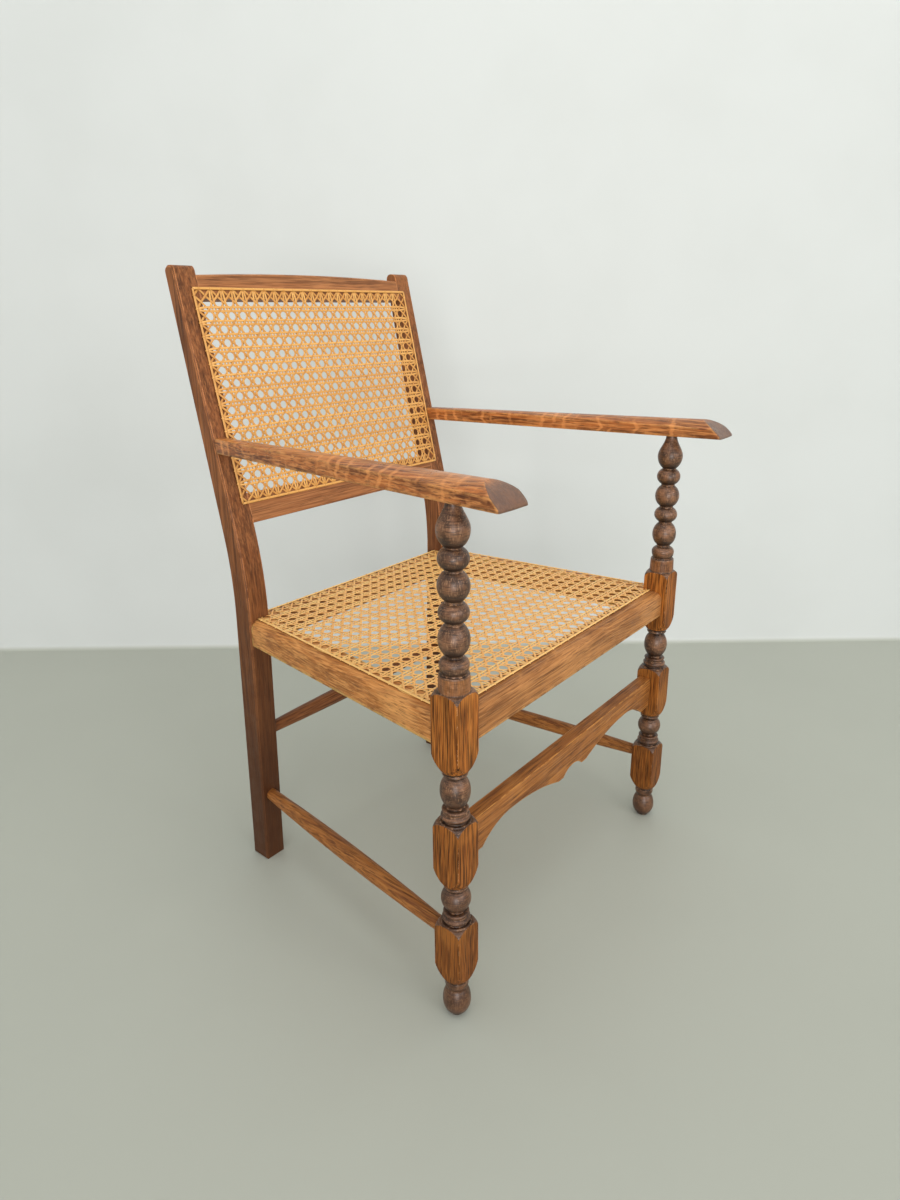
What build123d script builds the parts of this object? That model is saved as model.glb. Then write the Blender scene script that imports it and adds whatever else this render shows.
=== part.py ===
from build123d import *
import os
from math import acos, atan, atan2, cos, pi, radians, sin, sqrt, tan

# Open armchair: bobbin-turned front posts that carry the arms, sawn rear posts, caned seat and back.
# Millimetres, +Z up. The sitter faces -Y, so the sitter's right is -X.
# The origin is on the floor under the middle of the chair's outline.

os.makedirs("parts", exist_ok=True)
SIDES = ((-1, "right"), (1, "left"))

# Heights above the floor
seat_height = 400.0
arm_height = 634.5
back_height = 866.0
front_stretcher_height = 209.0
side_stretcher_height = 112.0
rear_stretcher_height = 212.0

# Plan
post_spacing = 500.0
rear_span = 446.0
seat_depth = 382.5
arm_overhang = 77.0

# Front posts: square blocks left in the turning, measured from the rail or stretcher each one takes
block = 37.0
seat_block_drop = 66.0
seat_block_rise = 29.5
board_block_drop = 22.0
board_block_rise = 61.5
side_block_drop = 60.0
side_block_rise = 21.5
shoulder_top = 14.5
shoulder_low = 31.0
collar = 20.0
collar_diameter = 34.8
waist_diameter = 30.0
groove_diameter = 21.0
ring_diameter = 31.6
disc_diameter = 33.0
ball_diameter = 34.4
pear_diameter = 35.0
pear_height = 48.5
groove_step = 1.0
neck_diameter = 15.0
foot_diameter = 34.0
foot_flat = 18.0
foot_groove_diameter = 24.0
foot_groove_height = 38.0
ankle_diameter = 27.6
ankle_drop = 4.5

# Shapes of the turning, from the floor up: shares of the way out and up, and each bead's height and diameter
foot_curve = ((0.0, 0.0), (0.35, 0.18), (0.68, 0.45), (1.0, 1.0))
shoulder_curve = ((1.0, 1.0), (0.55, 0.4), (0.0, 0.0))
pear_curve = ((0.6, 0.0), (0.78, 0.05), (0.92, 0.15), (1.0, 0.36), (0.88, 0.51), (0.58, 0.71), (0.43, 0.9))
lower_run = ((19.0, ring_diameter), (33.0, ball_diameter))
middle_run = ((20.0, ring_diameter), (36.0, ball_diameter))
upper_run = (
    (18.5, ring_diameter),
    (35.0, ball_diameter),
    (23.0, disc_diameter),
    (32.0, ball_diameter),
    (24.0, disc_diameter),
)

# Turned pieces are drawn with flats and in steps, which keeps the model light
turning_flats = 18
bead_steps = 4
spindle_steps = 3

# Rear posts
rear_width = 32.0
rear_depth = 33.0
rear_top_depth = 20.0
knee_height = 460.0
knee_radius = 540.0
leg_splay = 15.5
back_rake = 13.3
ear_radius = 8.0

# Seat rails
rail_height = 36.0
rail_round = 12.0
front_rail_setback = 6.5
side_rail_width = 30.0
side_rail_front_inset = 5.5
side_rail_rear_inset = 1.5
rear_rail_width = 26.0
rear_rail_inset = 12.0

# Back rails
back_rail_thickness = 17.0
lower_rail_bottom = 533.0
lower_rail_height = 40.0
top_rail_height = 30.0
top_rail_arch = 4.5
top_rail_drop = 11.0

# Arms
arm_rear_width = 17.5
arm_front_width = 42.0
arm_rear_thickness = 20.0
arm_front_thickness = 23.5
arm_drop = 4.5
arm_crown_radius = 29.0
arm_rear_edge = 11.0
arm_nose_length = 37.0
arm_nose_bulge = 4.0
arm_nose_plan = 4.0
arm_rear_inset = 1.0

# Stretchers
stretcher_end_diameter = 17.0
stretcher_middle_diameter = 24.0
board_thickness = 18.0
board_setback = 14.5
board_height = 46.5
scallop_outer = 205.0
scallop_crest = 150.0
scallop_inner = 36.0
scallop_rise = 21.0
cusp_half = 24.0
cusp_rise = 10.0

# Joinery
tenon = 8.0
tenon_length = 10.0
long_tenon_length = 15.0
tenon_shoulder = 5.0
round_tenon = 13.0
fit = 0.15
ease = 2.0

# Cane
cane_thickness = 1.6
binder_width = 3.5
binder_thickness = 1.4
binder_bevel = 0.8
border_side = 10.0
border_front = 18.0
border_rear = 6.0
back_border_side = 19.5
back_border_top = 16.0
back_border_low = 26.5
cane_pitch = 27.0
cane_gap = 15.5
cane_clear = 0.5

# Rear post seen from the side, with distances taken back from the front posts' axes
rake = radians(back_rake)
foot_front = seat_depth + leg_splay
top_front = seat_depth + (back_height - knee_height) * tan(rake)
top_rear = top_front + rear_top_depth
knee_rear = seat_depth + rear_depth
leg_lean = atan(leg_splay / knee_height)
rear_rake = atan2(top_rear - knee_rear, back_height - knee_height)
back_reach = top_rear + ear_radius * (1 - (1 + sin(rear_rake)) / cos(rear_rake))

# Shared positions
front_y = -(back_reach - arm_overhang) / 2
post_x = post_spacing / 2
block_half = block / 2
between_posts = post_x - block_half
rear_outer = rear_span / 2
rear_inner = rear_outer - rear_width
rear_x = rear_outer - rear_width / 2
rail_middle = seat_height - rail_height / 2
rail_tenon = rail_height - 2 * tenon_shoulder


def leg_front(height):
    """Front of the rear legs at a height below the knee, behind the front posts' axes."""
    return seat_depth + (knee_height - height) * tan(leg_lean)


def back_front(height):
    """Front of the raked back at a height above the knee, behind the front posts' axes."""
    return seat_depth + (height - knee_height) * tan(rake)


def up_back(height):
    """Distance up the raked back from the knee to a height above the floor."""
    return (height - knee_height) / cos(rake)


# Front faces of the legs below the knee and of the back above it
knee = (0, front_y + seat_depth, knee_height)
leg_face = Plane(origin=knee, x_dir=(1, 0, 0), z_dir=(0, -cos(leg_lean), -sin(leg_lean)))
back_face = Plane(origin=knee, x_dir=(1, 0, 0), z_dir=(0, -cos(rake), sin(rake)))

# Seat plan
rail_front = -block_half + front_rail_setback
front_rail_width = block_half - rail_front
front_tenon_y = rail_front + front_rail_width / 3
side_rail_end = leg_front(seat_height)
side_front_x = post_x + block_half - side_rail_front_inset
side_rear_x = rear_outer - side_rail_rear_inset
side_taper = (side_front_x - side_rear_x) / (side_rail_end - block_half)
rear_rail_rear = leg_front(rail_middle) + rear_depth - rear_rail_inset
rear_rail_front = rear_rail_rear - rear_rail_width
rear_tenon_y = rear_rail_rear - tenon

# Back rails, up the raked face
lower_rail_top = lower_rail_bottom + lower_rail_height
top_rail_top = back_height - top_rail_drop
top_rail_bottom = top_rail_top - top_rail_height
back_rails = ((lower_rail_bottom, lower_rail_top), (top_rail_bottom, top_rail_top))
back_tenon_face = back_face.offset(-(back_rail_thickness - tenon) / 2)

# Front stretcher
board_front = -block_half + board_setback
board_middle = board_front + board_thickness / 2
board_tenon = board_height - 4 * tenon_shoulder
board_tenon_z = front_stretcher_height + board_height / 2

# Arms, with the taper carried on past the front posts to the nose
arm_rear_under = arm_height - arm_drop
arm_rear_y = back_front(arm_rear_under + arm_rear_edge)
arm_rear_x = rear_outer - arm_rear_inset - arm_rear_width / 2
arm_tenon_z = arm_rear_under + arm_rear_edge - tenon_shoulder / 2


def side_rail_outer(y):
    """Outer face of the tapering side rails at a distance behind the front posts' axes."""
    return side_front_x - side_taper * (y - block_half)


def along_arm(rear, front, y):
    """Runs a size of the arm from its value at the back to its value over the front post, and on."""
    return front + (rear - front) * y / arm_rear_y


def rear_leg_center(height):
    """Middle of the rear legs at a height below the knee, behind the front posts' axes."""
    return leg_front(height) + rear_depth / 2


def side_stretcher_line(side):
    """Plane across a side stretcher's front end, facing along it, and the stretcher's clear length."""
    start = Vector(side * post_x, front_y + block_half, side_stretcher_height)
    end = Vector(side * rear_x, front_y + leg_front(side_stretcher_height), side_stretcher_height)
    return Plane(origin=start, x_dir=(0, 0, 1), z_dir=end - start), (end - start).length


def finish(builder, name):
    """Names a finished piece and writes it."""
    builder.part.label = name
    export_step(builder.part, f"parts/{name}.step")


def mortise(plane, x, y, width, height, depth):
    """Sinks a tenon's mortise behind a plane into the piece being built."""
    with BuildSketch(plane) as opening:
        with Locations((x, y)):
            Rectangle(width + 2 * fit, height + 2 * fit)
    extrude(opening.sketch, amount=-(depth + fit), mode=Mode.SUBTRACT)


def bore(plane, diameter, depth):
    """Bores a round tenon's hole behind a plane into the piece being built."""
    with BuildSketch(plane) as opening:
        RegularPolygon(diameter / 2 + fit, turning_flats)
    extrude(opening.sketch, amount=-(depth + fit), mode=Mode.SUBTRACT)


def tongue(plane, x, y, width, height, length):
    """Adds a tenon that stands out from a plane to the piece being built."""
    with BuildSketch(plane) as section:
        with Locations((x, y)):
            Rectangle(width, height)
    extrude(section.sketch, amount=length)


def turn(plane, profile):
    """Turns a piece along a plane's axis from pairs of radius and distance, and adds it."""
    sections = []
    for radius, distance in profile:
        with BuildSketch(plane.offset(distance)) as section:
            RegularPolygon(radius, turning_flats)
        sections.append(section.sketch)
    loft(sections, ruled=True)


def bead(start, wide, end):
    """Profile of a round bead, from after one groove over the widest point to the next groove."""
    points = []
    for step in range(1, bead_steps + 1):
        share = 2 * step / bead_steps - 1
        edge = start if share < 0 else end
        limit = acos(edge[0] / wide[0])
        reach = sin(abs(share) * limit) / sin(limit)
        points.append((wide[0] * cos(share * limit), wide[1] + (edge[1] - wide[1]) * reach))
    return points


def under_ring(level):
    """Step at the foot of the ring that stands on a block or collar."""
    return [(ring_diameter / 2 - groove_step, level + groove_step)]


def beads(start, low, high, run):
    """Profile of a run of turned beads from low to high, with a groove between each and the next."""
    total = sum(height for height, width in run)
    level = low
    points = []
    for height, width in run:
        length = height * (high - low) / total
        end = (groove_diameter / 2, level + length)
        points += bead(start, (width / 2, level + length / 2), end)
        start = end
        level += length
    return points


def block_profile(low, high):
    """Profile of a block's rounded foot, corners and turned shoulder. The square blank cuts its faces."""
    corner = block / sqrt(2) / cos(pi / turning_flats) + fit
    waist = waist_diameter / 2
    shoulder = collar_diameter / 2
    foot = [(waist + out * (corner - waist), low + up * shoulder_low) for out, up in foot_curve]
    top = [(shoulder + out * (corner - shoulder), high - up * shoulder_top) for out, up in shoulder_curve]
    return foot + top


def spindle(half, end_half):
    """Profile of a stretcher, fuller in the middle, with its ends left parallel."""
    end = stretcher_end_diameter / 2
    swell = stretcher_middle_diameter / 2 - end
    points = [(end, -end_half)]
    for step in range(-spindle_steps, spindle_steps + 1):
        share = step / spindle_steps
        points.append((end + swell * (1 - share * share), half * share))
    return points + [(end, end_half)]


# Front posts
seat_block = (seat_height - seat_block_drop, seat_height + seat_block_rise)
board_block = (front_stretcher_height - board_block_drop, front_stretcher_height + board_block_rise)
side_block = (side_stretcher_height - side_block_drop, side_stretcher_height + side_block_rise)
collar_top = seat_block[1] + collar
foot_groove = (foot_groove_diameter / 2, foot_groove_height)
pear_low = arm_height - pear_height
post_profile = [(foot_flat / 2, 0)]
post_profile += bead(post_profile[-1], (foot_diameter / 2, foot_groove_height / 2), foot_groove)
post_profile += [(ankle_diameter / 2, side_block[0] - ankle_drop)]
post_profile += block_profile(*side_block)
post_profile += under_ring(side_block[1])
post_profile += beads(post_profile[-1], side_block[1] + groove_step, board_block[0] - groove_step, lower_run)
post_profile += block_profile(*board_block)
post_profile += under_ring(board_block[1])
post_profile += beads(post_profile[-1], board_block[1] + groove_step, seat_block[0] - groove_step, middle_run)
post_profile += block_profile(*seat_block)
post_profile += [(ring_diameter / 2 + groove_step, collar_top)]
post_profile += under_ring(collar_top)
post_profile += beads(post_profile[-1], collar_top + groove_step, pear_low - groove_step, upper_run)
post_profile += [(out * pear_diameter / 2, pear_low + up * pear_height) for out, up in pear_curve]
post_profile += [(neck_diameter / 2, arm_height)]
for side, hand in SIDES:
    axis_x = side * post_x
    stretcher_end, stretcher_length = side_stretcher_line(side)
    with BuildPart() as front_post:
        stem = Plane(origin=(axis_x, front_y, 0))
        turn(stem, post_profile)
        with BuildSketch(stem):
            Rectangle(block, block)
        extrude(amount=arm_height, mode=Mode.INTERSECT)
        with BuildSketch(stem.offset(arm_height)):
            RegularPolygon(round_tenon / 2, turning_flats)
        extrude(amount=long_tenon_length)
        inner = (side * between_posts, front_y, 0)
        inner_face = Plane(origin=inner, x_dir=(0, -side, 0), z_dir=(-side, 0, 0))
        mortise(inner_face, -side * front_tenon_y, rail_middle, tenon, rail_tenon, long_tenon_length)
        mortise(inner_face, -side * board_middle, board_tenon_z, tenon, board_tenon, long_tenon_length)
        rear_face = Plane(origin=(0, front_y + block_half, 0), x_dir=(-1, 0, 0), z_dir=(0, 1, 0))
        rail_x = side_front_x - side_rail_width / 2
        mortise(rear_face, -side * rail_x, rail_middle, tenon, rail_tenon, tenon_length)
        bore(stretcher_end.offset(tenon), stretcher_end_diameter, tenon + long_tenon_length)
    finish(front_post, f"front_post_{hand}")

# Rear posts
for side, hand in SIDES:
    stretcher_end, stretcher_length = side_stretcher_line(side)
    with BuildPart() as rear_post:
        side_view = Plane(origin=(side * rear_x, front_y, 0), x_dir=(0, 1, 0), z_dir=(1, 0, 0))
        with BuildSketch(side_view) as profile:
            with BuildLine():
                Polyline(
                    (foot_front, 0),
                    (seat_depth, knee_height),
                    (top_front, back_height),
                    (top_rear, back_height),
                    (knee_rear, knee_height),
                    (foot_front + rear_depth, 0),
                    close=True,
                )
            make_face()
            knees = profile.vertices().filter_by_position(Axis.Y, knee_height - ease, knee_height + ease)
            fillet(knees.sort_by(Axis.X)[0], radius=knee_radius)
            knees = profile.vertices().filter_by_position(Axis.Y, knee_height - ease, knee_height + ease)
            fillet(knees, radius=knee_radius - rear_depth)
            fillet(profile.vertices().group_by(Axis.Y)[-1], radius=ear_radius)
        extrude(amount=rear_width / 2, both=True)
        outer_face = rear_post.faces().sort_by(Axis((0, 0, 0), (side, 0, 0)))[-1]
        chamfer(outer_face.edges(), length=ease)
        rail_end = Plane(origin=(0, front_y + side_rail_end, 0), x_dir=(1, 0, 0), z_dir=(0, -1, 0))
        rail_x = side_rear_x - side_rail_width / 2
        mortise(rail_end.offset(tenon), side * rail_x, rail_middle, tenon, rail_tenon, tenon + tenon_length)
        arm_end = Plane(origin=(0, front_y + arm_rear_y, 0), x_dir=(1, 0, 0), z_dir=(0, -1, 0))
        mortise(arm_end.offset(tenon), side * arm_rear_x, arm_tenon_z, tenon, arm_rear_edge,
                tenon + tenon_length)
        bore(stretcher_end.offset(stretcher_length + long_tenon_length + fit), stretcher_end_diameter,
             long_tenon_length + tenon)
        inner = (side * rear_inner, front_y, 0)
        inner_face = Plane(origin=inner, x_dir=(0, -side, 0), z_dir=(-side, 0, 0))
        mortise(inner_face, -side * rear_tenon_y, rail_middle, tenon, rail_tenon, tenon_length)
        for low, high in back_rails:
            middle = (up_back(low) + up_back(high)) / 2
            tall = up_back(high) - up_back(low) - 2 * tenon_shoulder
            mortise(back_tenon_face.offset(fit), side * rear_inner, middle, 2 * long_tenon_length, tall,
                    tenon + fit)
        hole_y = front_y + rear_leg_center(rear_stretcher_height)
        stretcher_hole = Plane(origin=(side * rear_inner, hole_y, rear_stretcher_height), z_dir=(-side, 0, 0))
        bore(stretcher_hole, stretcher_end_diameter, long_tenon_length)
    finish(rear_post, f"rear_post_{hand}")

# Seat frame
with BuildPart() as front_rail:
    rail_y = front_y + rail_front + front_rail_width / 2
    with BuildSketch(Plane(origin=(0, rail_y, seat_height - rail_height))):
        Rectangle(2 * between_posts, front_rail_width)
    extrude(amount=rail_height)
    long_edges = front_rail.edges().filter_by(Axis.X)
    fillet(long_edges.group_by(Axis.Z)[-1].sort_by(Axis.Y)[0], radius=rail_round)
    front_tenon = Plane(origin=(0, front_y + front_tenon_y, rail_middle - rail_tenon / 2))
    tongue(front_tenon, 0, 0, 2 * (between_posts + long_tenon_length), tenon, rail_tenon)
finish(front_rail, "seat_front_rail")

with BuildPart() as rear_rail:
    rail_y = front_y + rear_rail_front + rear_rail_width / 2
    with BuildSketch(Plane(origin=(0, rail_y, seat_height - rail_height))):
        Rectangle(2 * rear_inner, rear_rail_width)
    extrude(amount=rail_height)
    fillet(rear_rail.edges().filter_by(Axis.X).sort_by(Axis.Y)[-2:], radius=ease)
    rear_tenon = Plane(origin=(0, front_y + rear_tenon_y, rail_middle - rail_tenon / 2))
    tongue(rear_tenon, 0, 0, 2 * (rear_inner + tenon_length), tenon, rail_tenon)
finish(rear_rail, "seat_rear_rail")

overrun = leg_splay
for side, hand in SIDES:
    far_y = side_rail_end + overrun
    with BuildPart() as side_rail:
        with BuildSketch(Plane(origin=(0, front_y, seat_height - rail_height))):
            with BuildLine():
                Polyline(
                    (side * side_front_x, block_half),
                    (side * side_rail_outer(far_y), far_y),
                    (side * (side_rail_outer(far_y) - side_rail_width), far_y),
                    (side * (side_front_x - side_rail_width), block_half),
                    close=True,
                )
            make_face()
        extrude(amount=rail_height)
        split(bisect_by=leg_face, keep=Keep.TOP)
        top_edges = side_rail.edges().group_by(Axis.Z)[-1].sort_by(SortBy.LENGTH)[-2:]
        fillet(top_edges.sort_by(Axis((0, 0, 0), (side, 0, 0)))[-1], radius=rail_round)
        front_end = Plane(origin=(0, front_y + block_half, 0), x_dir=(-1, 0, 0), z_dir=(0, 1, 0))
        front_x = side_front_x - side_rail_width / 2
        tongue(front_end.offset(-tenon_length), -side * front_x, rail_middle, tenon, rail_tenon,
               tenon_length + ease)
        rear_end = Plane(origin=(0, front_y + side_rail_end, 0), x_dir=(-1, 0, 0), z_dir=(0, 1, 0))
        end_x = side_rear_x - side_rail_width / 2
        tongue(rear_end.offset(-ease), -side * end_x, rail_middle, tenon, rail_tenon, tenon_length + ease)
    finish(side_rail, f"seat_side_rail_{hand}")

# Back frame
with BuildPart() as top_rail:
    with BuildSketch(back_face):
        with BuildLine():
            low = up_back(top_rail_bottom)
            high = up_back(top_rail_top)
            Polyline((-rear_inner, high), (-rear_inner, low), (rear_inner, low), (rear_inner, high))
            ThreePointArc((rear_inner, high), (0, high + top_rail_arch), (-rear_inner, high))
        make_face()
    extrude(amount=-back_rail_thickness)
    chamfer(top_rail.edges().filter_by(GeomType.CIRCLE), length=ease)
    tongue(back_tenon_face, 0, (low + high) / 2, 2 * (rear_inner + long_tenon_length),
           high - low - 2 * tenon_shoulder, -tenon)
finish(top_rail, "back_top_rail")

with BuildPart() as lower_rail:
    low = up_back(lower_rail_bottom)
    high = up_back(lower_rail_top)
    with BuildSketch(back_face):
        with Locations((0, (low + high) / 2)):
            Rectangle(2 * rear_inner, high - low)
    extrude(amount=-back_rail_thickness)
    fillet(lower_rail.edges().filter_by(Axis.X).sort_by(Axis.Z)[:2], radius=ease)
    tongue(back_tenon_face, 0, (low + high) / 2, 2 * (rear_inner + long_tenon_length),
           high - low - 2 * tenon_shoulder, -tenon)
finish(lower_rail, "back_lower_rail")

# Arms: a crowned bar cut to its taper in plan, then to its sloping underside and rounded nose from the side
arm_fall = arm_front_thickness + arm_drop - arm_rear_thickness
nose_crown = arm_front_thickness + arm_fall * arm_overhang / arm_rear_y
under_slope = arm_drop / arm_rear_y
for side, hand in SIDES:
    with BuildPart() as arm:
        run = Vector(side * (arm_rear_x - post_x), arm_rear_y, -arm_fall)
        over_post = Vector(side * post_x, front_y, arm_height + arm_front_thickness)
        crown_start = over_post - run * (arm_overhang / arm_rear_y)
        with BuildSketch(Plane(origin=crown_start, x_dir=(-1, 0, 0), z_dir=run)):
            with Locations((0, -arm_crown_radius)):
                Circle(arm_crown_radius)
            with Locations((0, -2 * arm_crown_radius)):
                Rectangle(2 * arm_crown_radius, 2 * arm_crown_radius)
        extrude(amount=run.length + 2 * arm_overhang)
        with BuildSketch(Plane(origin=(0, front_y, arm_rear_under - arm_drop))) as plan:
            with BuildLine():
                corners = []
                for y, way in ((-arm_overhang, 1), (arm_rear_y + arm_rear_edge, -1)):
                    middle = along_arm(arm_rear_x, post_x, y)
                    half = along_arm(arm_rear_width, arm_front_width, y) / 2
                    corners += [(side * (middle - way * half), y), (side * (middle + way * half), y)]
                Polyline(*corners, close=True)
            make_face()
            fillet(plan.vertices().group_by(Axis.Y)[0], radius=arm_nose_plan)
        extrude(amount=2 * arm_front_thickness, mode=Mode.INTERSECT)
        with BuildSketch(Plane(origin=(0, front_y, arm_height + fit), x_dir=(0, 1, 0), z_dir=(1, 0, 0))):
            with BuildLine():
                tip = (-arm_overhang, arm_overhang * under_slope)
                nose_end = (arm_nose_length - arm_overhang, nose_crown)
                SagittaArc(tip, nose_end, arm_nose_bulge)
                Polyline(nose_end, (back_reach, nose_crown), (back_reach, -back_reach * under_slope), tip)
            make_face()
        extrude(amount=post_spacing, both=True, mode=Mode.INTERSECT)
        split(bisect_by=back_face, keep=Keep.TOP)
        post_top = Plane(origin=(side * post_x, front_y, arm_height - ease), z_dir=(0, 0, -1))
        bore(post_top, round_tenon, long_tenon_length + ease)
        arm_end = Plane(origin=(0, front_y + arm_rear_y, 0), x_dir=(-1, 0, 0), z_dir=(0, 1, 0))
        tongue(arm_end.offset(-arm_rear_edge), -side * arm_rear_x, arm_tenon_z, tenon, arm_rear_edge,
               arm_rear_edge + tenon_length)
    finish(arm, f"arm_{hand}")

# Stretchers
with BuildPart() as front_stretcher:
    with BuildSketch(
        Plane(origin=(0, front_y + board_front, front_stretcher_height), x_dir=(1, 0, 0), z_dir=(0, -1, 0))
    ):
        with BuildLine():
            for side, hand in SIDES:
                end = side * between_posts
                outer = (side * scallop_outer, 0)
                crest = (side * scallop_crest, scallop_rise)
                inner = (side * scallop_inner, 0)
                Polyline((0, board_height), (end, board_height), (end, 0), outer)
                TangentArc(crest, outer, tangent=(side, 0))
                TangentArc(crest, inner, tangent=(-side, 0))
                Line(inner, (side * cusp_half, 0))
            ThreePointArc((-cusp_half, 0), (0, cusp_rise), (cusp_half, 0))
        make_face()
    extrude(amount=-board_thickness)
    board_tenon_foot = Plane(origin=(0, front_y + board_middle, board_tenon_z - board_tenon / 2))
    for side, hand in SIDES:
        tenon_x = side * (between_posts + (long_tenon_length - ease) / 2)
        tongue(board_tenon_foot, tenon_x, 0, long_tenon_length + ease, tenon, board_tenon)
finish(front_stretcher, "front_stretcher")

for side, hand in SIDES:
    front_end, length = side_stretcher_line(side)
    with BuildPart() as side_stretcher:
        turn(front_end.offset(length / 2), spindle(length / 2, length / 2 + long_tenon_length))
    finish(side_stretcher, f"side_stretcher_{hand}")

rear_middle = Plane(
    origin=(0, front_y + rear_leg_center(rear_stretcher_height), rear_stretcher_height), z_dir=(1, 0, 0)
)
with BuildPart() as rear_stretcher:
    turn(rear_middle, spindle(rear_inner, rear_inner + long_tenon_length))
finish(rear_stretcher, "rear_stretcher")

# Seat cane: one holed sheet on the rails, notched round the posts, with a strip along each border
cane_front = rail_front + border_front
cane_rear = rear_rail_rear - border_rear
notch_front = block_half + cane_clear
notch_rear = side_rail_end - cane_clear
half_outline = (
    (between_posts - cane_clear, cane_front),
    (between_posts - cane_clear, notch_front),
    (side_rail_outer(notch_front) - border_side, notch_front),
    (side_rail_outer(notch_rear) - border_side, notch_rear),
    (rear_inner - cane_clear, notch_rear),
    (rear_inner - cane_clear, cane_rear),
)
rows = int((rear_rail_front - block_half) / cane_pitch)
first_row = (rear_rail_front + block_half - (rows - 1) * cane_pitch) / 2
seat_gaps = []
for row in range(rows):
    y = first_row + row * cane_pitch
    open_half = side_rail_outer(y + cane_gap / 2) - side_rail_width
    count = int(2 * open_half / cane_pitch)
    seat_gaps += [((column - (count - 1) / 2) * cane_pitch, y) for column in range(count)]
with BuildPart() as seat_cane:
    with BuildSketch(Plane(origin=(0, front_y, seat_height))):
        with BuildLine():
            Polyline(*half_outline, *[(-x, y) for x, y in reversed(half_outline)], close=True)
        make_face()
        with Locations(*seat_gaps):
            Rectangle(cane_gap, cane_gap, mode=Mode.SUBTRACT)
    extrude(amount=cane_thickness)
finish(seat_cane, "seat_cane")

cane_top = seat_height + cane_thickness
for name, half, y in (
    ("front", between_posts - 2 * cane_clear, cane_front + binder_width / 2),
    ("rear", rear_inner - 2 * cane_clear, cane_rear - binder_width / 2),
):
    with BuildPart() as seat_binder:
        with BuildSketch(Plane(origin=(0, front_y + y, cane_top))):
            Rectangle(2 * half, binder_width)
        extrude(amount=binder_thickness)
        chamfer(seat_binder.edges().group_by(Axis.Z)[-1].filter_by(Axis.X), length=binder_bevel)
    finish(seat_binder, f"seat_binder_{name}")

for side, hand in SIDES:
    strip_inset = border_side + binder_width / 2 + cane_clear
    line = [
        Vector(side * (side_rail_outer(y) - strip_inset), front_y + y, cane_top)
        for y in (notch_front + 2 * cane_clear, notch_rear - 2 * cane_clear)
    ]
    along = line[1] - line[0]
    with BuildPart() as seat_binder:
        with BuildSketch(Plane(origin=(line[0] + line[1]) / 2, x_dir=along, z_dir=(0, 0, 1))):
            Rectangle(along.length, binder_width)
        extrude(amount=binder_thickness)
        chamfer(seat_binder.edges().group_by(Axis.Z)[-1].sort_by(SortBy.LENGTH)[-2:], length=binder_bevel)
    finish(seat_binder, f"seat_binder_{hand}")

# Back cane, in front of the raked frame
cane_half = rear_outer - back_border_side
cane_low = up_back(lower_rail_bottom + back_border_low)
cane_high = up_back(top_rail_top - back_border_top)
open_low = up_back(lower_rail_top)
open_high = up_back(top_rail_bottom)
columns = int(2 * rear_inner / cane_pitch)
back_rows = int((open_high - open_low) / cane_pitch)
with BuildPart() as back_cane:
    with BuildSketch(back_face):
        with Locations((0, (cane_low + cane_high) / 2)):
            Rectangle(2 * cane_half, cane_high - cane_low)
        with Locations((0, (open_low + open_high) / 2)):
            with GridLocations(cane_pitch, cane_pitch, columns, back_rows):
                Rectangle(cane_gap, cane_gap, mode=Mode.SUBTRACT)
    extrude(amount=cane_thickness)
finish(back_cane, "back_cane")

cane_face = back_face.offset(cane_thickness)
strip_half = cane_half - binder_width - cane_clear
strip_tall = cane_high - cane_low
for name, x, y, width, height in (
    ("top", 0, cane_high - binder_width / 2, 2 * strip_half, binder_width),
    ("lower", 0, cane_low + binder_width / 2, 2 * strip_half, binder_width),
    ("right", -cane_half + binder_width / 2, (cane_low + cane_high) / 2, binder_width, strip_tall),
    ("left", cane_half - binder_width / 2, (cane_low + cane_high) / 2, binder_width, strip_tall),
):
    with BuildPart() as back_binder:
        with BuildSketch(cane_face):
            with Locations((x, y)):
                Rectangle(width, height)
        extrude(amount=binder_thickness)
        front_edges = back_binder.faces().sort_by(Axis((0, 0, 0), back_face.z_dir))[-1].edges()
        chamfer(front_edges.sort_by(SortBy.LENGTH)[-2:], length=binder_bevel)
    finish(back_binder, f"back_binder_{name}")
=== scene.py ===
"""Looks of the turned-post armchair: dark oak frame, smooth turnings, and six-way cane in seat and back."""
import math
import bpy
import numpy as np
from mathutils import Matrix, Vector


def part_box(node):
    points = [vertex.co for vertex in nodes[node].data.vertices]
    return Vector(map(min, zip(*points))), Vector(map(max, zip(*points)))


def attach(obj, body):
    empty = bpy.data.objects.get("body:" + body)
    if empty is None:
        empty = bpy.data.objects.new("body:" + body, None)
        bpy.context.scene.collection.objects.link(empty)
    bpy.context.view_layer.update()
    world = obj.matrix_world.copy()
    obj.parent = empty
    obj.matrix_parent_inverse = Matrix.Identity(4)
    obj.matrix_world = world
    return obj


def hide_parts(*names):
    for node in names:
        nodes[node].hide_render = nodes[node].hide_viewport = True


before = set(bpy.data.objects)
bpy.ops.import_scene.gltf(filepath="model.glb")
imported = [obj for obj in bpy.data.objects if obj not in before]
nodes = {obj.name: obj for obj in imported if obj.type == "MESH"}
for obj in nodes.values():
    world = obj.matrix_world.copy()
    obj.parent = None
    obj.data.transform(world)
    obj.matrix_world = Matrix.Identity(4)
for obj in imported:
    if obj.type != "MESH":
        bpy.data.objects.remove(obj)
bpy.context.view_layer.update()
rng = np.random.default_rng(seed=7)

MM = 0.001
X, Y, Z = range(3)
UPWARD, FORWARD = (0, 0, 1), (0, -1, 0)
HANDS = ("right", "left")


def srgb(r, g, b):
    """Linear colour from 0 to 255 screen values."""
    return tuple(((c / 255 + 0.055) / 1.055) ** 2.4 for c in (r, g, b))


def shade(color, amount):
    """Colour made darker or paler by a factor."""
    return tuple(min(1.0, amount * c) for c in color)


# Shaders

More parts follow.
